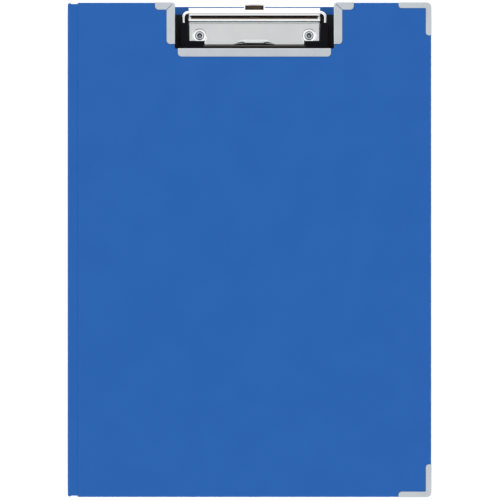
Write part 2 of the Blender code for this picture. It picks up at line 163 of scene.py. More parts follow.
def vinylCloth():
    made, shader, place = newFinish("vinylCloth", {"Specular IOR Level": 0.19})
    pebbles = place.cells(clothLook["pebble"])
    creases = place.cells(clothLook["pebble"] * 2.3, "DISTANCE_TO_EDGE")
    fine = place.noise(0.35, 4)
    mottle = place.noise(22, 3)
    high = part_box("cover_cloth")[1]
    margin = clothLook["wornEdge"] * mm
    reachX = place.part("X") - (high.x - margin)
    reachY = abs(place.part("Y")) - (high.y - margin)
    edge = reachX.math("MAXIMUM", reachX, reachY).above(0, margin)
    rubbed = edge * place.noise(3.1, 5).above(0.42, 0.72)
    tone = (mottle - 0.5) * 0.9 + (fine - 0.5) * 0.55 + 0.5
    colour = rubbed.paintedOver(tone.tint(clothLook["base"], clothLook["lighter"]), clothLook["wornAndLighter"])
    grain = (1 - pebbles) * 0.6 + creases.above(0, 0.16) * 0.35 + fine * 0.4
    gloss = 0.43 + (fine - 0.5) * 0.22 + (mottle - 0.5) * 0.1 - rubbed * 0.1
    connect(shader, colour, gloss, grain, 0.05, 0.45)
    return made


liningLook = {"low": (0.0042, 0.0042, 0.005), "high": (0.0135, 0.0132, 0.0145), "pebble": 1.45}


def embossedLining():
    made, shader, place = newFinish("embossedLining", {"Specular IOR Level": 0.16})
    warp = place.noise(3.5, 2).other("Color")
    bent = place.node("Mix", {0: 0.0012, 4: place, 5: warp}, output=1, data_type="VECTOR")
    edges = bent.cells(liningLook["pebble"], "DISTANCE_TO_EDGE")
    small = bent.cells(liningLook["pebble"] * 0.45)
    fine = place.noise(0.3, 3)
    raised = edges.above(0.0, 0.28)
    tone = raised * 0.7 + fine * 0.3
    gloss = 0.62 - raised * 0.14 + (fine - 0.5) * 0.15
    grain = raised * 0.8 + (1 - small) * 0.25 + fine * 0.15
    connect(shader, tone.tint(liningLook["low"], liningLook["high"]), gloss, grain, 0.14, 0.7)
    return made


def rawGreyboard():
    made, shader, place = newFinish("rawGreyboard", {"Specular IOR Level": 0.2})
    fibres = place.stretched(0.35, 0.35, 2.4).noise(0.5, 5, 0.6)
    flecks = place.noise(0.22, 2).above(0.63, 0.72)
    plies = place.stretched(0.05, 0.05, 1.0).noise(0.4, 2)
    tone = fibres * 0.6 + plies * 0.4
    colour = flecks.paintedOver(tone.tint((0.27, 0.24, 0.2), (0.56, 0.52, 0.45)), (0.12, 0.11, 0.1))
    connect(shader, colour, 0.85 + (fibres - 0.5) * 0.2, fibres * 0.7 + plies * 0.5, 0.12, 0.8)
    return made


def satinSteel():
    made, shader, place = newFinish("satinSteel", {"Metallic": 1.0})
    frost = place.noise(0.18, 3)
    streaks = place.stretched(0.12, 1.0, 1.0).noise(0.35, 3) * 0.5
    streaks += place.stretched(1.0, 0.12, 1.0).noise(0.35, 3) * 0.5
    cloudy = place.noise(9, 3)
    scuffs = place.stretched(1.0, 0.25, 1.0).noise(1.1, 5, 1.2).above(0.64, 0.7)
    tone = cloudy * 0.6 + frost * 0.4
    plain = tone.tint((0.485, 0.522, 0.557), (0.58, 0.612, 0.642))
    colour = (scuffs * 0.35).paintedOver(plain, (0.42, 0.43, 0.45))
    gloss = 0.35 + (frost - 0.5) * 0.14 + (cloudy - 0.5) * 0.1 + scuffs * 0.07
    connect(shader, colour, gloss, frost * 0.5 + streaks * 0.7, 0.012, 0.35)
    return made


rivetPaintedShade = {  # distances from a rivet's middle and heights, in millimetres, for the painted shade in the groove round each head and down its bore
    "head": 3.9, "grooveIn": (2.38, 2.52), "grooveOut": (2.8, 3.1), "grooveUp": (2.8, 3.2),
    "bore": (1.52, 1.62), "boreUp": (1.2, 1.4), "boreShade": (0.4, 1.1),
}


def nickelPlate():
    made, shader, place = newFinish("nickelPlate", {"Metallic": 1.0})
    frost = place.noise(0.12, 3)
    brushed = place.stretched(0.06, 1.0, 1.0).noise(0.22, 4)
    cloudy = place.noise(14, 3)
    scratches = place.stretched(0.3, 1.0, 1.0).noise(0.8, 6, 2.0).above(0.66, 0.7)
    tone = cloudy * 0.55 + brushed * 0.45
    plain = tone.tint((0.68, 0.7, 0.7), (0.77, 0.79, 0.79))
    colour = (scratches * 0.3).paintedOver(plain, (0.56, 0.56, 0.56))
    stainAndShade = {name: [v * mm for v in value] for name, value in rivetPaintedShade.items() if name != "head"}
    boxes = [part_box(node) for node in ("clip_rivet_left", "clip_rivet_right")]
    low, high = boxes[0][0], boxes[1][1]
    apart = (high.x - low.x) / 2 - rivetPaintedShade["head"] * mm
    sideways = abs(abs(place.part("X") - (low.x + high.x) / 2) - apart)
    along = abs(place.part("Y") - (low.y + high.y) / 2)
    reach = sideways.math("SQRT", sideways * sideways + along * along)
    height = place.part("Z")
    # painted shade: a dark ring in the groove round each rivet head, and a dark blue-grey down its hollow
    # bore, darker towards the middle
    groove = reach.above(*stainAndShade["grooveIn"]) * (1 - reach.above(*stainAndShade["grooveOut"]))
    groove *= height.above(*stainAndShade["grooveUp"]) * (0.6 + cloudy * 0.4)
    bore = (1 - reach.above(*stainAndShade["bore"])) * height.above(*stainAndShade["boreUp"])
    bore *= 0.55 + reach.above(*stainAndShade["boreShade"]) * 0.4
    colour = (groove * 0.9).paintedOver(colour, (0.02, 0.022, 0.024))
    colour = bore.paintedOver(colour, (0.025, 0.045, 0.075))
    gloss = 0.2 + (frost - 0.5) * 0.08 + (cloudy - 0.5) * 0.1 + scratches * 0.08
    connect(shader, colour, gloss, brushed * 0.8 + frost * 0.3, 0.006, 0.3)
    return made


creasePaintedShade = {"at": 4.7, "edge": (0.16, 0.3), "up": (8.0, 8.4)}  # painted shade line at the foot of the lever's flange


def polishedChrome():
    made, shader, place = newFinish("polishedChrome", {"Metallic": 1.0})
    hairlines = place.stretched(0.08, 1.0, 1.0).noise(0.3, 5, 0.8)
    haze = place.noise(6, 3)
    smudges = place.noise(2.4, 4, 1.0).above(0.55, 0.75)
    tone = haze * 0.7 + hairlines * 0.3
    edge, up = ([v * mm for v in creasePaintedShade[name]] for name in ("edge", "up"))
    away = abs(place.part("Y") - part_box("lever_plate")[0].y - creasePaintedShade["at"] * mm)
    # painted shade: a dark line along the crease at the foot of the flange
    crease = (1 - away.above(*edge)) * place.part("Z").above(*up) * (0.5 + haze * 0.4)
    colour = crease.paintedOver(tone.tint((0.74, 0.745, 0.75), (0.82, 0.82, 0.825)), (0.12, 0.115, 0.11))
    connect(shader, colour, 0.05 + smudges * 0.09 + (haze - 0.5) * 0.05, hairlines, 0.003, 0.25)
    return made


def mouldedPlastic():
    made, shader, place = newFinish("mouldedPlastic", {"Specular IOR Level": 0.09})
    spark = place.noise(0.16, 3)
    flow = place.stretched(1.0, 0.3, 1.0).noise(5, 3)
    dust = place.noise(0.5, 4).above(0.66, 0.76)
    plain = flow.tint((0.0011, 0.0011, 0.003), (0.0034, 0.0034, 0.0062))
    colour = (dust * 0.25).paintedOver(plain, (0.026, 0.026, 0.03))
    connect(shader, colour, 0.36 + (spark - 0.5) * 0.2 + (flow - 0.5) * 0.12, spark, 0.03, 0.4)
    return made


def oiledSteel():
    made, shader, place = newFinish("oiledSteel", {"Metallic": 1.0})
    drawn = place.stretched(0.2, 1.0, 1.0).noise(0.15, 3)
    stainAndShade = place.stretched(0.3, 1.0, 1.0).noise(1.6, 4)
    colour = stainAndShade.tint((0.10, 0.066, 0.042), (0.235, 0.165, 0.105))
    connect(shader, colour, 0.3 + stainAndShade * 0.16, drawn, 0.01, 0.4)
    return made


barShadeEdge = (1.6, 2.2)  # the painted shade on the clamping bar ends this far from the bar's front


def clampWireChrome():  # the clamping bar at the foot of the loop is painted dark brown and less metallic, as painted shade in the gap under the plate's lip
    made, shader, place = newFinish("clampWireChrome", {})
    haze = place.noise(3, 3)
    drawn = place.stretched(0.15, 0.5, 1.0).noise(0.2, 3)
    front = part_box("clamp_wire")[0].y
    # painted shade: the bar's front is coloured dark brown with lighter brown patches, and made less metallic
    barShade = 1 - place.part("Y").above(*(front + v * mm for v in barShadeEdge))
    wornAndLighter = barShade * place.stretched(0.4, 1.0, 1.0).noise(0.9, 5).above(0.68, 0.74)
    plain = haze.tint((0.78, 0.785, 0.79), (0.86, 0.86, 0.865))
    colour = barShade.paintedOver(plain, (0.018, 0.01, 0.0065))
    colour = (wornAndLighter * 0.5).paintedOver(colour, (0.16, 0.11, 0.075))
    connect(shader, colour, 0.08 + haze * 0.06 + barShade * 0.2, drawn, 0.004, 0.3)
    metal = 1 - barShade * 0.6
    shader.id_data.links.new(metal.socket, shader.inputs["Metallic"])
    return made


warmPatch = (3.0, 5.8)  # half widths of the warmer middle of the leaf


def paintedSlotShade():  # the leaf behind the slot in the lever's tab, painted near black with a warmer brown middle as painted shade
    made, shader, place = newFinish("paintedSlotShade", {"Specular IOR Level": 0.25})
    spread = abs(place.part("X") - sum(corner.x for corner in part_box("lever_plate")) / 2)
    warm = (1 - spread.above(*(v * mm for v in warmPatch))) * place.noise(1.2, 4).above(0.3, 0.7)
    colour = warm.tint((0.008, 0.0055, 0.004), (0.075, 0.042, 0.016))
    connect(shader, colour, 0.35 + place.noise(0.4, 3) * 0.2, place.noise(0.2, 3), 0.01, 0.4)
    return made


finishes = {
    "cloth": vinylCloth(),
    "lining": embossedLining(),
    "greyboard": rawGreyboard(),
    "guard_steel": satinSteel(),
    "nickel": nickelPlate(),
    "chrome": polishedChrome(),
    "black_plastic": mouldedPlastic(),
    "spring_steel": oiledSteel(),
    "wire": clampWireChrome(),
    "leaf": paintedSlotShade(),
}
print("materials made:", len(finishes))


# Modelling helpers: shapes are worked in millimetres and scaled when a piece is finished

def span(node):
    return [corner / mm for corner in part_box(node)]


def flatShape(corners, height):  # a face through (x, y, radius) corners, with round ones bevelled
    bm = bmesh.new()
    verts = [bm.verts.new((x, y, height)) for x, y, _ in corners]
    bm.faces.new(verts)
    for vert, (_, _, radius) in zip(verts, corners):
        if radius:
            bmesh.ops.bevel(bm, geom=[vert], offset=radius, offset_type="OFFSET", segments=8, profile=0.5,
                            affect="VERTICES", material=-1)
    return bm


def vertsIn(geometry):
    return [item for item in geometry if isinstance(item, bmesh.types.BMVert)]


def edgesIn(geometry):
    return [item for item in geometry if isinstance(item, bmesh.types.BMEdge)]


def centreOf(face):
    return face.calc_center_median()


def allAt(item, axis, value, slack=0.01):  # whether all of an edge's or face's corners share a coordinate
    return all(abs(v.co[axis] - value) < slack for v in item.verts)


def levelRims(bm):  # the rims of a flat shape that has been given a height
    return [e for e in folds(bm) if abs(e.verts[0].co.z - e.verts[1].co.z) < 0.01]


def thicken(bm, height):  # extrudes every face upwards
    grown = bmesh.ops.extrude_face_region(bm, geom=bm.faces[:])["geom"]
    bmesh.ops.translate(bm, verts=vertsIn(grown), vec=(0, 0, height))


def pull(bm, edges, reach):  # extrudes edges into new faces and gives the new edges
    grown = bmesh.ops.extrude_edge_only(bm, edges=edges)["geom"]
    bmesh.ops.translate(bm, verts=vertsIn(grown), vec=reach)
    return edgesIn(grown)


def swept(bm, edges, centre, angle, steps):  # turns edges about X into new faces and gives the last edges
    grown = bmesh.ops.spin(bm, geom=edges, cent=centre, axis=(1, 0, 0), angle=angle, steps=steps,
                           use_duplicate=False)
    return edgesIn(grown["geom_last"])


def softened(bm, edges, width, segments=3):
    bmesh.ops.bevel(bm, geom=edges, offset=width, offset_type="OFFSET", segments=segments, profile=0.5,
                    affect="EDGES", clamp_overlap=True, material=-1)


def sliced(bm, point, normal, faces=None):
    chosen = list(bm.faces) if faces is None else faces
    geom = set(chosen)
    for face in chosen:
        geom.update(face.edges)
        geom.update(face.verts)
    bmesh.ops.bisect_plane(bm, geom=list(geom), dist=1e-5, plane_co=point, plane_no=normal)


def remove(bm, faces):
    bmesh.ops.delete(bm, geom=faces, context="FACES")


def folds(bm, least=50):  # edges where two faces meet at an angle
    return [e for e in bm.edges if len(e.link_faces) == 2 and e.calc_face_angle(0) > math.radians(least)]


def strand(bm, spots, x):  # a run of edges through (y, z) spots
    verts = [bm.verts.new((x, y, z)) for y, z in spots]
    return [bm.edges.new((verts[i], verts[i + 1])) for i in range(len(verts) - 1)]


def finishPiece(bm, name, kind, body, nodes, sheet=0.0, side=-1.0, soft=0.0, outward=True):
    bmesh.ops.remove_doubles(bm, verts=bm.verts, dist=1e-4)
    if outward:
        bmesh.ops.recalc_face_normals(bm, faces=bm.faces)
    bmesh.ops.scale(bm, verts=bm.verts, vec=(mm, mm, mm))
    mesh = bpy.data.meshes.new(name)
    bm.to_mesh(mesh)
    bm.free()
    return finishMesh(mesh, name, kind, body, nodes, sheet, side, soft)


sharpAngle = math.radians(42)
rimAngle = math.radians(50)


def finishMesh(mesh, name, kind, body, nodes, sheet=0.0, side=-1.0, soft=0.0):
    mesh.shade_smooth()
    mesh.set_sharp_from_angle(angle=sharpAngle)
    mesh.materials.clear()
    mesh.materials.append(finishes[kind])
    piece = bpy.data.objects.new(name, mesh)
    bpy.context.scene.collection.objects.link(piece)
    if sheet:
        wall = piece.modifiers.new("wall", "SOLIDIFY")
        wall.thickness = sheet * mm
        wall.offset = side
        wall.use_even_offset = True
    if soft:
        rim = piece.modifiers.new("rim", "BEVEL")
        rim.width = soft * mm
        rim.segments = 2
        rim.limit_method = "ANGLE"
        rim.angle_limit = rimAngle
    flow = piece.modifiers.new("flow", "WEIGHTED_NORMAL")
    flow.keep_sharp = True
    if body:
        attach(piece, body)
    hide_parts(*nodes)
    return piece


def carved(piece, cutters):  # cuts the cutters' shapes out of a piece for good
    piece.modifiers.remove(piece.modifiers["flow"])
    for cutter in cutters:
        step = piece.modifiers.new("cut", "BOOLEAN")
        step.operation = "DIFFERENCE"
        step.solver = "EXACT"
        step.object = cutter
    bpy.context.view_layer.update()
    done = bpy.data.meshes.new_from_object(piece.evaluated_get(bpy.context.evaluated_depsgraph_get()))
    piece.modifiers.clear()
    piece.data = done
    done.set_sharp_from_angle(angle=sharpAngle)
    for cutter in cutters:
        bpy.data.objects.remove(cutter)
    piece.modifiers.new("flow", "WEIGHTED_NORMAL").keep_sharp = True
    return piece


def toolFrom(bm):
    bmesh.ops.recalc_face_normals(bm, faces=bm.faces)
    bmesh.ops.scale(bm, verts=bm.verts, vec=(mm, mm, mm))
    mesh = bpy.data.meshes.new("tool")
    bm.to_mesh(mesh)
    bm.free()
    tool = bpy.data.objects.new("tool", mesh)
    bpy.context.scene.collection.objects.link(tool)
    return tool


# Boards: cloth wrapped round greyboard and turned in on the inner face

boardShape = {
    "turnIn": 5.1, "sheet": 0.3, "edgeRound": 0.5, "cornerRound": 3.0, "foldRound": 0.4, "notchRound": 1.5,
}


def openWindow(bm, low, high, level, margin):
    planes = [((low.x + margin, 0, 0), (1, 0, 0)), ((high.x - margin, 0, 0), (1, 0, 0)),
              ((0, low.y + margin, 0), (0, 1, 0)), ((0, high.y - margin, 0), (0, 1, 0))]
    for point, normal in planes:
        sliced(bm, point, normal, [f for f in bm.faces if allAt(f, 2, level)])
    slack = margin - 0.01
    low, high = low + Vector((slack, slack, 0)), high - Vector((slack, slack, 0))
    remove(bm, [f for f in bm.faces if allAt(f, 2, level)
                and all(low.x < v.co.x < high.x and low.y < v.co.y < high.y for v in f.verts)])


def clothShell(node, innerUp, notch):
    shape = boardShape
    low, high = span(node)
    near, far = shape["foldRound"], shape["cornerRound"]
    corners = [(low.x, low.y, near), (high.x, low.y, far), (high.x, high.y, far)]
    if notch:
        left, right, floor = notch
        corners += [(right, high.y, 0), (right, floor, shape["notchRound"])]
        corners += [(left, floor, shape["notchRound"]), (left, high.y, 0)]
    corners.append((low.x, high.y, near))
    bm = flatShape(corners, low.z)
    thicken(bm, high.z - low.z)
    bmesh.ops.recalc_face_normals(bm, faces=bm.faces)
    if notch:
        walls = [f for f in bm.faces if abs(f.normal.z) < 0.5
                 and left - 1 < centreOf(f).x < right + 1 and centreOf(f).y > floor - 1]
        remove(bm, walls)
    softened(bm, levelRims(bm), shape["edgeRound"], 4)
    openWindow(bm, low, high, high.z if innerUp else low.z, shape["turnIn"])
    return bm


notchLow, notchHigh = span("notch_edge_strip")
leftGuard, rightGuard = span("notch_guard_left")[1], span("notch_guard_right")[0]
guardProud = 0.35
notchSides = (leftGuard.x - guardProud, rightGuard.x + guardProud, notchHigh.y - guardProud)
finishPiece(clothShell("cover_cloth", False, notchSides), "coverCloth", "cloth", "cover",
            ["cover_cloth"], boardShape["sheet"])
backCloth = finishPiece(clothShell("back_cloth", True, None), "backCloth", "cloth", "back",
                        ["back_cloth"], boardShape["sheet"])
print("covered boards made")


# Metal edge guards: channels folded over the boards

guardShape = {"sheet": 0.3, "fold": 0.55, "inner": 0.6, "soft": 0.07, "slit": 0.17, "slitStop": 2.1}
cornerArms = {"wideX": 3.9, "wideY": 3.9, "cornerRound": 3.35, "endRound": 1.9}
notchArms = {"wideX": 5.3, "wideY": 4.9, "cornerRound": 1.7, "endRound": 2.2}
stripEnds = {"endRound": 2.4}


# inX and inY are the signs of the way from the outer corner to the inside
def cornerOutline(low, high, inX, inY, arms, grow=0.0):
    x, y = (low.x if inX > 0 else high.x), (low.y if inY > 0 else high.y)
    armX, armY = (high.x - low.x + grow) * inX, (high.y - low.y + grow) * inY
    wideX, wideY = (arms["wideX"] + grow) * inX, (arms["wideY"] + grow) * inY
    x, y = x - grow * inX, y - grow * inY
    armX, armY = armX + grow * inX, armY + grow * inY
    wideX, wideY = wideX + grow * inX, wideY + grow * inY
    return [
        (x, y, arms["cornerRound"]), (x + armX, y, 0), (x + armX, y + wideY, arms["endRound"]),
        (x + wideX, y + wideY, guardShape["inner"]), (x + wideX, y + armY, arms["endRound"]),
        (x, y + armY, 0),
    ]


def foldedChannel(corners, low, high, isWall):
    bm = flatShape(corners, low)
    thicken(bm, high - low)
    bmesh.ops.recalc_face_normals(bm, faces=bm.faces)
    remove(bm, [f for f in bm.faces if abs(f.normal.z) < 0.5 and not isWall(centreOf(f))])
    softened(bm, levelRims(bm), guardShape["fold"], 5)
    return bm


def mitreSlit(bm, corner, inX, inY, arms):  # the open seam where the two arms' flanges meet
    inner = Vector((corner[0] + arms["wideX"] * inX, corner[1] + arms["wideY"] * inY, 0))
    along = (Vector((corner[0], corner[1], 0)) - inner)
    length = along.length - guardShape["slitStop"]
    along.normalize()
    across = Vector((-along.y, along.x, 0))

    def flanges():
        return [f for f in bm.faces if abs(f.normal.z) > 0.99]

    for offset in (-guardShape["slit"], guardShape["slit"]):
        sliced(bm, inner + across * offset, across, flanges())
    sliced(bm, inner + along * length, along, flanges())
    slit = []
    for face in flanges():
        spot = centreOf(face) - inner
        if abs(spot.dot(across)) < guardShape["slit"] * 0.9 and -1 < spot.dot(along) < length:
            slit.append(face)
    remove(bm, slit)


def cornerGuard(name, node, body, inX, inY, arms, mitred):
    low, high = span(node)
    corners = cornerOutline(low, high, inX, inY, arms)
    x, y, radius = corners[0]

    def isWall(spot):
        near = (Vector((x, y)) - Vector(spot[:2])).length < radius
        return near or abs(spot.x - x) < 0.02 or abs(spot.y - y) < 0.02

    bm = foldedChannel(corners, low.z, high.z, isWall)
    if mitred:
        mitreSlit(bm, (x, y), inX, inY, arms)
    finishPiece(bm, name, "guard_steel", body, [node], guardShape["sheet"], soft=guardShape["soft"])


cornerGuard("coverGuardTop", "cover_guard_top", "cover", -1, -1, cornerArms, False)
cornerGuard("coverGuardBottom", "cover_guard_bottom", "cover", -1, 1, cornerArms, False)
cornerGuard("backGuardTop", "back_guard_top", "back", -1, -1, cornerArms, False)
cornerGuard("backGuardBottom", "back_guard_bottom", "back", -1, 1, cornerArms, False)
cornerGuard("notchGuardLeft", "notch_guard_left", "cover", -1, -1, notchArms, True)
cornerGuard("notchGuardRight", "notch_guard_right", "cover", 1, -1, notchArms, True)

stripCorners = [(notchLow.x, notchHigh.y, 0), (notchLow.x, notchLow.y, stripEnds["endRound"]),
                (notchHigh.x, notchLow.y, stripEnds["endRound"]), (notchHigh.x, notchHigh.y, 0)]
stripBm = foldedChannel(stripCorners, notchLow.z, notchHigh.z,
                        lambda spot: abs(spot.y - notchHigh.y) < 0.02)
finishPiece(stripBm, "notchStrip", "guard_steel", "cover", ["notch_edge_strip"],
            guardShape["sheet"], soft=guardShape["soft"])
print("edge guards made")


# Pockets in the back board's cloth for its guards and rivet heads

pocketDeep = 0.35
headClear = 0.05
tools = []
for node, inY in (("back_guard_top", -1), ("back_guard_bottom", 1)):
    low, high = span(node)
    toolBm = flatShape(cornerOutline(low, high, -1, inY, cornerArms, 0.05), -1)
    thicken(toolBm, 1 + pocketDeep)
    tools.append(toolFrom(toolBm))
for node in ("clip_rivet_left", "clip_rivet_right"):
    low, high = span(node)
    toolBm = bmesh.new()
    radius = (high.x - low.x) / 2 + headClear
    bmesh.ops.create_cone(toolBm, cap_ends=True, segments=48, radius1=radius, radius2=radius, depth=3,
                          matrix=Matrix.Translation(((low.x + high.x) / 2, (low.y + high.y) / 2, 0)))
    tools.append(toolFrom(toolBm))
carved(backCloth, tools)
print("back cloth cut for guards and rivets")


# Spine: wrapped board, and the two cloth folds from the boards' edges round the spine

spineShape = {
    "skin": 0.5, "edgeRound": 0.45, "turnIn": 5.1, "lip": 2.0, "groove": 0.3, "bend": 1.6,
    "tuck": (0.9, 0.25), "shoulder": (-0.4, 0.2), "step": (0.7, 0.02), "dipRound": 0.6,
}
low, high = span("spine_cloth")
spineBm = bmesh.new()
bmesh.ops.create_cube(spineBm, size=1)
outside = low.x + spineShape["skin"] + 0.02
bmesh.ops.scale(spineBm, verts=spineBm.verts, vec=(high.x - outside, high.y - low.y, high.z - low.z))
bmesh.ops.translate(spineBm, verts=spineBm.verts, vec=((high.x + outside) / 2, 0, (high.z + low.z) / 2))
softened(spineBm, spineBm.edges[:], spineShape["edgeRound"], 4)


def innerFaces():
    return [f for f in spineBm.faces if allAt(f, 0, high.x)]


windowY, windowZ = high.y - spineShape["turnIn"], (high.z - low.z) / 2 - spineShape["lip"]
middleZ = (high.z + low.z) / 2
for side in (1, -1):
    sliced(spineBm, (0, side * windowY, 0), (0, 1, 0), innerFaces())
for side in (1, -1):
    sliced(spineBm, (0, 0, middleZ + side * windowZ), (0, 0, 1), innerFaces())
inside = []
for face in innerFaces():
    spot = centreOf(face)
    if abs(spot.y) < windowY and abs(spot.z - middleZ) < windowZ:
        inside.append(face)
remove(spineBm, inside)
finishPiece(spineBm, "spineCloth", "cloth", "spine", ["spine_cloth"], boardShape["sheet"])


def foldSkin(name, node, board, faceUp):  # from a board's edge, over the groove, half way round the spine
    shape = spineShape
    stripLow, stripHigh = span(node)
    outer, up = (stripHigh.z, 1) if faceUp else (stripLow.z, -1)
    half = shape["skin"] / 2
    level = outer - up * half
    wallX = low.x + half
    bm = bmesh.new()
    (tuck, tuckDeep), (shoulder, shoulderDeep), (step, stepDeep) = (
        shape[key] for key in ("tuck", "shoulder", "step"))
    spots = [(stripHigh.x + tuck, level - up * tuckDeep), (stripHigh.x + shoulder, level - up * shoulderDeep),
             ((stripLow.x + stripHigh.x) / 2, level - up * shape["groove"]),
             (stripLow.x + step, level - up * stepDeep), (wallX, level), (wallX, middleZ)]
    verts = [bm.verts.new((x, stripLow.y, z)) for x, z in spots]
    edges = [bm.edges.new((verts[i], verts[i + 1])) for i in range(len(verts) - 1)]
    pull(bm, edges, (0, stripHigh.y - stripLow.y, 0))
    corner = [e for e in bm.edges if allAt(e, 0, wallX) and allAt(e, 2, level)]
    dips = [e for e in bm.edges if len(e.link_faces) == 2 and e not in corner]
    softened(bm, corner, shape["bend"], 14)
    softened(bm, [e for e in dips if e.is_valid], shape["dipRound"], 4)
    bmesh.ops.recalc_face_normals(bm, faces=bm.faces)
    if max(bm.faces, key=lambda f: centreOf(f).x).normal.z * up < 0:
        bmesh.ops.reverse_faces(bm, faces=bm.faces)
    skin = finishPiece(bm, name, "cloth", None, [node], shape["skin"], 0.0, outward=False)
    spineSide = Vector((wallX, 0, level - up * (shape["bend"] + 0.2))) * mm
    boardSide = Vector((wallX + shape["bend"] + 0.2, 0, level)) * mm
    if board == "back":
        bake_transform(skin)
    else:
        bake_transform(skin)


foldSkin("backFoldCloth", "back_hinge_strip", "back", False)
foldSkin("frontFoldCloth", "cover_hinge_strip", "cover", True)
print("spine and folds made")


# Clip base plate: one stamped sheet with a bowed front lip, rivet cups and the roll over the pin

plateShape = {
    "sheet": 0.6, "foot": 0.35, "level": 1.8, "bend": 0.8, "sideBend": 0.45,
    "bowFlat": 4.9, "bowEnd": 14.5, "bowDeep": 3.8, "bowFoot": 1.4, "bowRise": 0.25,
    "bowCuts": (0, 4.9, 6.5, 8, 9.5, 11, 12.5, 14), "lipDeep": 5,
    "cup": [(4.8, 0.0), (4.7, -0.04), (4.55, -0.22), (4.35, -0.46), (4.15, -0.55),
            (3.3, -0.66), (3.1, -0.78), (3.0, -1.15), (2.05, -1.15)],
    "cutY": 2.9, "cutX": 10.1, "cheek": 1.5, "cheekIn": 1.1, "hook": 79,
}
plateLow, plateHigh = span("clip_base_plate")
pinLow, pinHigh = span("hinge_pin")
boardTop = span("back_cloth")[1].z
pinY, pinZ = (pinLow.y + pinHigh.y) / 2, (pinLow.z + pinHigh.z) / 2
middleX = (plateLow.x + plateHigh.x) / 2
rivetSpots = [tuple((a + b) / 2 for a, b in zip(*span(node)))[:2]
              for node in ("clip_rivet_left", "clip_rivet_right")]


def bowShare(x):
    shape = plateShape
    t = min(max((shape["bowEnd"] - abs(x)) / (shape["bowEnd"] - shape["bowFlat"]), 0), 1)
    return t * t * (3 - 2 * t)


def cupInto(bm, x, y, level):  # presses a rivet cup into the flat
    steps = plateShape["cup"]
    half = steps[0][0] + 0.3
    wide = half + 0.01

    def inStrip(item):
        return allAt(item, 2, level, 0.001) and allAt(item, 0, x, wide)

    def inSquare(item):
        return inStrip(item) and allAt(item, 1, y, wide)

    near = [f for f in bm.faces if abs(f.normal.z) > 0.99 and abs(centreOf(f).z - level) < 0.01]
    for side in (-half, half):
        sliced(bm, (x + side, 0, 0), (1, 0, 0), near)
        near = [f for f in bm.faces if allAt(f, 2, level, 0.001)]
    for side in (-half, half):
        sliced(bm, (0, y + side, 0), (0, 1, 0), [f for f in bm.faces if inStrip(f)])
    remove(bm, [f for f in bm.faces if inSquare(f)])
    sides = [e for e in bm.edges if e.is_boundary and inSquare(e)]
    ring = bmesh.ops.create_circle(bm, segments=64, radius=steps[0][0],
                                   matrix=Matrix.Translation((x, y, level)))["verts"]
    loop = list({e for v in ring for e in v.link_edges})
    bmesh.ops.triangle_fill(bm, use_beauty=True, edges=sides + loop, normal=(0, 0, 1))
    loop = [e for e in loop if e.is_valid]
    centre = Matrix.Translation((-x, -y, -level))
    for (r0, z0), (r1, z1) in zip(steps, steps[1:]):
        grown = bmesh.ops.extrude_edge_only(bm, edges=loop)["geom"]
        loop = edgesIn(grown)
        bmesh.ops.scale(bm, verts=vertsIn(grown), vec=(r1 / r0, r1 / r0, 1), space=centre)
        bmesh.ops.translate(bm, verts=vertsIn(grown), vec=(0, 0, z1 - z0))


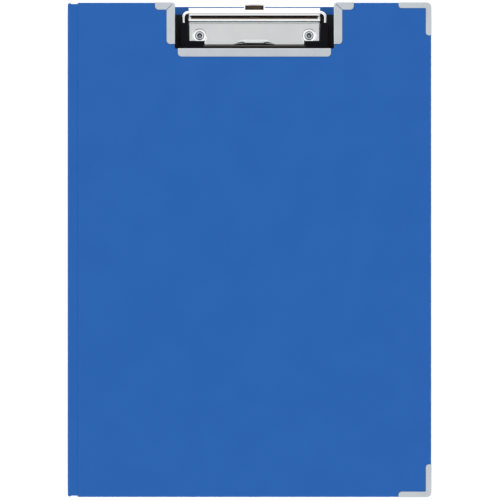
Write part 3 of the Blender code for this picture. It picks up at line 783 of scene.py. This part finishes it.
def basePlate():
    shape = plateShape
    half = shape["sheet"] / 2
    foot, level = boardTop + shape["foot"], boardTop + shape["level"] - half
    front = plateLow.y + half
    rollOut = plateHigh.z - half - pinZ
    left, right = plateLow.x, plateHigh.x
    bm = bmesh.new()
    spots = [(front, foot), (front, level), (pinY - rollOut, level), (pinY - rollOut, pinZ)]
    pull(bm, strand(bm, spots, left), (right - left, 0, 0))
    crest = [e for e in bm.edges if allAt(e, 2, pinZ, 0.001)]
    swept(bm, crest, (0, pinY, pinZ), -math.radians(shape["hook"]), 18)
    bmesh.ops.remove_doubles(bm, verts=bm.verts, dist=1e-4)
    bends = [e for e in bm.edges if len(e.link_faces) == 2 and allAt(e, 2, level, 0.001)]
    softened(bm, bends, shape["bend"], 7)
    for x in sorted({side * cut for cut in shape["bowCuts"] for side in (-1, 1)}):
        lip = [f for f in bm.faces if centreOf(f).y < plateLow.y + shape["lipDeep"]
               or abs(centreOf(f).z - level) < 0.01]
        sliced(bm, (middleX + x, 0, 0), (1, 0, 0), lip)
    for vert in bm.verts:  # the lip's middle leans back into a ramp
        if vert.co.y < front + shape["bend"] + 0.01:
            height = (vert.co.z - foot) / (level - foot)
            share = bowShare(vert.co.x - middleX)
            vert.co.y += share * (shape["bowFoot"] + (shape["bowDeep"] - shape["bowFoot"]) * height)
            vert.co.z += share * shape["bowRise"] * (level - vert.co.z)
    for x, y in rivetSpots:
        cupInto(bm, x, y, level)
    cornerX, cornerY = right - middleX - shape["cutX"], plateLow.y + shape["cutY"]
    crossed = [f for f in bm.faces if abs(centreOf(f).x - middleX) > cornerX - 3 or f.calc_area() > 100]
    sliced(bm, (0, cornerY, 0), (0, 1, 0), crossed)
    for side in (-1, 1):  # the corners are cut away for the sleeves
        ahead = [f for f in bm.faces if centreOf(f).y < cornerY]
        sliced(bm, (middleX + side * cornerX, 0, 0), (1, 0, 0), ahead)
    remove(bm, [f for f in bm.faces if centreOf(f).y < cornerY and abs(centreOf(f).x - middleX) > cornerX])
    ends = [e for e in bm.edges if e.is_boundary and allAt(e, 2, level)
            and all(abs(abs(v.co.x - middleX) - (right - middleX)) < 0.01 for v in e.verts)]
    pull(bm, ends, (0, 0, foot - level))
    bmesh.ops.remove_doubles(bm, verts=bm.verts, dist=1e-4)
    bmesh.ops.recalc_face_normals(bm, faces=bm.faces)
    softened(bm, [e for e in folds(bm, 70) if allAt(e, 2, level)], shape["sideBend"], 4)
    for side in (-1, 1):
        cheekX = middleX + side * (right - middleX - shape["cheekIn"])
        turn = Matrix.Translation((cheekX, pinY, pinZ)) @ Matrix.Rotation(math.pi / 2, 4, "Y")
        bmesh.ops.create_circle(bm, cap_ends=True, segments=40, radius=shape["cheek"], matrix=turn)
    if max(bm.faces, key=lambda f: f.calc_area()).normal.z < 0:
        bmesh.ops.reverse_faces(bm, faces=bm.faces)
    finishPiece(bm, "clipBasePlate", "nickel", "back", ["clip_base_plate"],
                shape["sheet"], 0.0, 0.1, outward=False)


basePlate()

rivetShape = [  # radius and height, from the head up round the rim and down the bore
    (0, 0.05), (3.6, 0.05), (3.85, 0.16), (3.9, 0.35), (3.9, 0.7), (2.0, 0.7), (2.0, 3.3),
    (2.3, 3.3), (2.42, 3.4), (2.45, 3.6), (2.4, 3.82), (2.24, 4.0), (2.05, 4.06), (1.86, 4.0),
    (1.7, 3.82), (1.62, 3.55), (1.6, 1.75), (1.45, 1.6), (0, 1.6),
]


def rivet(name, node):
    low, high = span(node)
    bm = bmesh.new()
    verts = [bm.verts.new((r, 0, z)) for r, z in rivetShape]
    edges = [bm.edges.new((verts[i], verts[i + 1])) for i in range(len(verts) - 1)]
    bmesh.ops.spin(bm, geom=verts + edges, cent=(0, 0, 0), axis=(0, 0, 1), angle=math.tau, steps=56,
                   use_merge=True, use_duplicate=False)
    bmesh.ops.translate(bm, verts=bm.verts, vec=((low.x + high.x) / 2, (low.y + high.y) / 2, 0))
    finishPiece(bm, name, "nickel", "back", [node])


rivet("rivetLeft", "clip_rivet_left")
rivet("rivetRight", "clip_rivet_right")
print("base plate and rivets made")


# Lever: a sheet curled round the wire, a sloping finger flange and a tab with the hanging slot

leverShape = {
    "sheet": 0.6, "curl": 1.65, "curlEnd": 330, "forward": 0.35, "nose": 0.9,
    "creaseWide": 0.22, "crease": 0.24, "slope": 36, "flange": 3.8,
    "hemTop": 5.7, "hemRound": 0.45, "hemLow": 2.6,
    "tabArch": 0.3, "tabHalf": 6.7, "tabCuts": (-4, -2, 0, 2, 4), "slotHalf": 5.95,
    "slotLow": 2.75, "slotTop": 5.7, "slotBridge": 0.02, "ear": 1.9, "earThick": 0.8,
}
leverLow, leverHigh = span("lever_plate")
wireLow, wireHigh = span("clamp_wire")
wireRound = 1.0
topY, topZ = wireHigh.y - wireRound, wireHigh.z - wireRound


def leverPlate():
    shape = leverShape
    slope = math.radians(shape["slope"])
    up = Vector((0, math.cos(slope), math.sin(slope)))
    across = Vector((0, up.z, -up.y))
    foot = Vector((0, topY, topZ)) - across * shape["curl"]
    left, right = leverLow.x, leverHigh.x
    begin = math.radians(shape["curlEnd"])
    rear, lean, nose = topY - shape["forward"], shape["curl"] - shape["nose"], shape["nose"]
    spare = (shape["forward"] + lean - lean * across.y) / up.y
    noseAt = foot + across * nose - up * spare
    bm = bmesh.new()

    def upFlange(spot):
        return (spot - foot).dot(up)

    def flange(half):  # the flange's faces within a distance of the middle
        return [f for f in bm.faces if upFlange(centreOf(f)) > 0.5 and abs(centreOf(f).x - middleX) < half]

    def rimAt(height):
        return [e for e in bm.edges if e.is_boundary
                and all(abs(upFlange(v.co) - height) < 0.01 for v in e.verts)]

    startY, startZ = (shape["curl"] * turn(begin) for turn in (math.cos, math.sin))
    rim = bm.edges.new([bm.verts.new((x, rear + startY, topZ + startZ)) for x in (left, right)])
    last = swept(bm, [rim], (0, rear, topZ), math.pi - begin, 20)
    last = pull(bm, last, (0, 0, noseAt.z - topZ))
    last = swept(bm, last, noseAt, slope - math.pi / 2, 9)
    width, dip = shape["creaseWide"], shape["crease"]
    last = pull(bm, last, up * (spare - width))
    last = pull(bm, last, up * width + across * dip)
    last = pull(bm, last, up * width - across * dip)
    pull(bm, last, up * (shape["flange"] - width))
    tabHalf, slotHalf = shape["tabHalf"], shape["slotHalf"]
    for x in (-tabHalf, -slotHalf, *shape["tabCuts"], slotHalf, tabHalf):
        sliced(bm, (middleX + x, 0, 0), (1, 0, 0), flange(right))
    crest = [e for e in rimAt(shape["flange"]) if allAt(e, 0, middleX, tabHalf + 0.01)]
    pull(bm, crest, up * (shape["hemTop"] - shape["flange"]))
    slotLow, slotTop = shape["slotLow"], shape["slotTop"] - shape["slotBridge"]
    for height in (slotLow, slotTop):
        sliced(bm, foot + up * height, up, flange(tabHalf))
    remove(bm, [f for f in flange(slotHalf) if slotLow < upFlange(centreOf(f)) < slotTop])
    # the hem folds a leaf back behind the slot, a dark sheet that stands for the shade seen through it
    turnAt = foot + up * shape["hemTop"] + across * shape["hemRound"]
    last = swept(bm, rimAt(shape["hemTop"]), turnAt, -math.pi, 10)
    pull(bm, last, up * (shape["hemLow"] - shape["hemTop"]))
    bmesh.ops.remove_doubles(bm, verts=bm.verts, dist=1e-4)
    for vert in bm.verts:  # the tab's top edge is arched
        aside = abs(vert.co.x - middleX)
        if upFlange(vert.co) > shape["slotTop"] - 0.05 and aside < tabHalf + 0.01:
            vert.co += up * (shape["tabArch"] * (1 - (aside / tabHalf) ** 2))
    bmesh.ops.recalc_face_normals(bm, faces=bm.faces)
    reach, ear = math.hypot(topY - pinY, topZ - pinZ), shape["ear"]
    corners = [(x, y, ear - 0.01) for x, y in (
        (-ear, -ear), (reach + ear, -ear), (reach + ear, ear), (-ear, ear))]
    lean = Matrix.Rotation(math.atan2(topZ - pinZ, topY - pinY), 4, "X")
    upright = Matrix(((0, 0, 1, 0), (1, 0, 0, 0), (0, 1, 0, 0), (0, 0, 0, 1)))
    for side in (-1, 1):
        ears = flatShape(corners, 0)
        earX = middleX + side * (right - middleX - shape["earThick"] / 2)
        bmesh.ops.transform(ears, verts=ears.verts,
                            matrix=Matrix.Translation((earX, pinY, pinZ)) @ lean @ upright)
        mesh = bpy.data.meshes.new("ear")
        ears.to_mesh(mesh)
        ears.free()
        bm.from_mesh(mesh)
        bpy.data.meshes.remove(mesh)
    lever = finishPiece(bm, "leverPlate", "chrome", "lever", ["lever_plate"],
                        shape["sheet"], 0.0, 0.12, outward=False)
    lever.data.materials.append(finishes["leaf"])
    for face in lever.data.polygons:  # the folded leaf is painted dark, as painted shade seen through the slot
        spot = face.center / mm
        behind = (spot - foot).dot(across) > shape["hemRound"] * 1.6 and upFlange(spot) > 1
        if behind and abs(spot.x - middleX) < tabHalf:
            face.material_index = 1


leverPlate()


# Clamp: a chromed wire loop with a black sleeve on each lower corner

clampShape = {
    "wire": 1.0, "lowRound": 3.0, "topRound": 3.2, "sleeveIn": 5.35, "sleeveUp": 15.4,
    "sleeveFoot": 1.4, "sleeveWide": 5.0, "sleeveRun": 15.1, "half": 1.6, "soft": 0.5, "chamfer": 1.9,
}
lowY, lowZ = wireLow.y + wireRound, wireLow.z + wireRound
rise = math.atan2(topZ - lowZ, topY - lowY)
armLength = math.hypot(topZ - lowZ, topY - lowY)
clampPlace = Matrix.Translation((middleX, lowY, lowZ)) @ Matrix.Rotation(rise, 4, "X")
wireHalf = (wireHigh.x - wireLow.x) / 2 - wireRound


quarterTurn = 0.5523  # handle length, as a share of the radius, that makes a quarter circle


def clampWire():
    shape = clampShape
    path = bpy.data.curves.new("clampWire", "CURVE")
    path.dimensions = "3D"
    path.bevel_depth = shape["wire"]
    path.bevel_resolution = 6
    path.resolution_u = 10
    spline = path.splines.new("BEZIER")
    corners = [(Vector((side * wireHalf, y, 0)), shape[bend]) for side, y, bend in (
        (-1, 0, "lowRound"), (1, 0, "lowRound"), (1, armLength, "topRound"), (-1, armLength, "topRound"))]
    spline.bezier_points.add(7)
    for i, (corner, radius) in enumerate(corners):
        before = (corners[i - 1][0] - corner).normalized()
        after = (corners[(i + 1) % 4][0] - corner).normalized()
        first, second = spline.bezier_points[2 * i], spline.bezier_points[2 * i + 1]
        for point, way in ((first, before), (second, after)):
            point.handle_left_type = point.handle_right_type = "FREE"
            point.co = corner + way * radius
        first.handle_left = first.co + before * 0.4
        first.handle_right = first.co - before * radius * quarterTurn
        second.handle_left = second.co - after * radius * quarterTurn
        second.handle_right = second.co + after * 0.4
    spline.use_cyclic_u = True
    holder = bpy.data.objects.new("clampWire", path)
    bpy.context.scene.collection.objects.link(holder)
    bpy.context.view_layer.update()
    mesh = bpy.data.meshes.new_from_object(holder.evaluated_get(bpy.context.evaluated_depsgraph_get()))
    bpy.data.objects.remove(holder)
    mesh.transform(Matrix.Scale(mm, 4) @ clampPlace)
    wire = finishMesh(mesh, "clampWire", "chrome", "lever", ["clamp_wire"])
    wire.data.materials[0] = finishes["wire"]


def cornerSleeve(name, node, side):
    shape = clampShape
    low, high = span(node)
    out = max(abs(low.x - middleX), abs(high.x - middleX))
    inner, end = out - shape["sleeveIn"], out - shape["sleeveRun"]
    top, foot, wide = shape["sleeveUp"], -shape["sleeveFoot"], shape["sleeveWide"] - shape["sleeveFoot"]
    corners = [
        (out, foot, 1.2), (out, top - shape["chamfer"], 0.4), (out - shape["chamfer"] * 0.8, top, 0.4),
        (inner, top, 0.5), (inner, wide, 0.4), (end, wide, 0.4), (end, foot, 0.4),
    ]
    bm = flatShape([(side * x, y, r) for x, y, r in corners], -shape["half"])
    thicken(bm, 2 * shape["half"])
    bmesh.ops.recalc_face_normals(bm, faces=bm.faces)
    softened(bm, levelRims(bm), shape["soft"], 4)
    bmesh.ops.transform(bm, matrix=clampPlace, verts=bm.verts)
    finishPiece(bm, name, "black_plastic", "lever", [node])


clampWire()
cornerSleeve("sleeveLeft", "corner_sleeve_left", -1)
cornerSleeve("sleeveRight", "corner_sleeve_right", 1)
print("lever, wire and sleeves made")


# CAD nodes that stay as they are get the finishes too

kept = {entry["node"]: entry["material_slot"] for entry in frame["record"]["subparts"]}
for name, node in frame["nodes"].items():
    for index in range(max(1, len(node.material_slots))):
        if not node.material_slots:
            node.data.materials.append(finishes[kept[name]])
        node.material_slots[index].material = finishes[kept[name]]


# Floor, light and camera

studio = {
    "floor": (0.9, 0.9, 0.9), "floorHigh": (0.92, 0.92, 0.92), "lift": 0.35, "sky": 1.35,
    "skyStops": [(0.0, 0.7), (0.15, 1.0), (0.88, 0.97), (0.955, 0.63), (1.0, 0.58)],
    "key": {"spot": (-0.7, 0.9, 1.5), "size": (1.0, 0.8), "power": 1.1},
    "fill": {"spot": (1.1, -0.5, 1.3), "size": (1.0, 1.0), "power": 0.35},
}


def paleFloor():
    bm = bmesh.new()
    bmesh.ops.create_grid(bm, x_segments=1, y_segments=1, size=3)
    mesh = bpy.data.meshes.new("floor")
    bm.to_mesh(mesh)
    bm.free()
    floor = bpy.data.objects.new("floor", mesh)
    bpy.context.scene.collection.objects.link(floor)
    made, shader, place = newFinish("palePaper", {
        "Roughness": 0.9, "Specular IOR Level": 0.1, "Emission Strength": studio["lift"],
        "Emission Color": (1, 1, 1, 1)})
    connect(shader, place.noise(60, 2).tint(studio["floor"], studio["floorHigh"]))
    mesh.materials.append(made)


def areaLight(name, spot, size, power):
    lamp = bpy.data.lights.new(name, "AREA")
    lamp.shape = "RECTANGLE"
    lamp.size, lamp.size_y = size
    lamp.energy = power
    holder = bpy.data.objects.new(name, lamp)
    holder.location = spot
    holder.rotation_euler = (-Vector(spot)).to_track_quat("-Z", "Y").to_euler()
    bpy.context.scene.collection.objects.link(holder)


def softSky():
    world = bpy.data.worlds.new("softSky")
    world.use_nodes = True
    bpy.context.scene.world = world
    tree = world.node_tree
    way = Signal(tree.nodes.new("ShaderNodeTexCoord").outputs["Generated"])
    height = way.part("Z")
    shade = height.node("ValToRGB", {0: height}, stops=studio["skyStops"])
    tree.links.new(shade.socket, tree.nodes["Background"].inputs["Color"])
    tree.nodes["Background"].inputs["Strength"].default_value = studio["sky"]


def overheadCamera():
    lens = {"focal": 82.0, "sensor": 36.0, "height": 0.746, "x": 0.0003, "y": -0.0001}
    camera = bpy.data.cameras.new("camera")
    camera.lens, camera.sensor_width = lens["focal"], lens["sensor"]
    camera.clip_start, camera.clip_end = 0.01, 20
    holder = bpy.data.objects.new("camera", camera)
    holder.location = (lens["x"], lens["y"], lens["height"])
    bpy.context.scene.collection.objects.link(holder)
    bpy.context.scene.camera = holder


paleFloor()
softSky()
areaLight("keyLight", **studio["key"])
areaLight("fillLight", **studio["fill"])
overheadCamera()
print("floor, light and camera set")
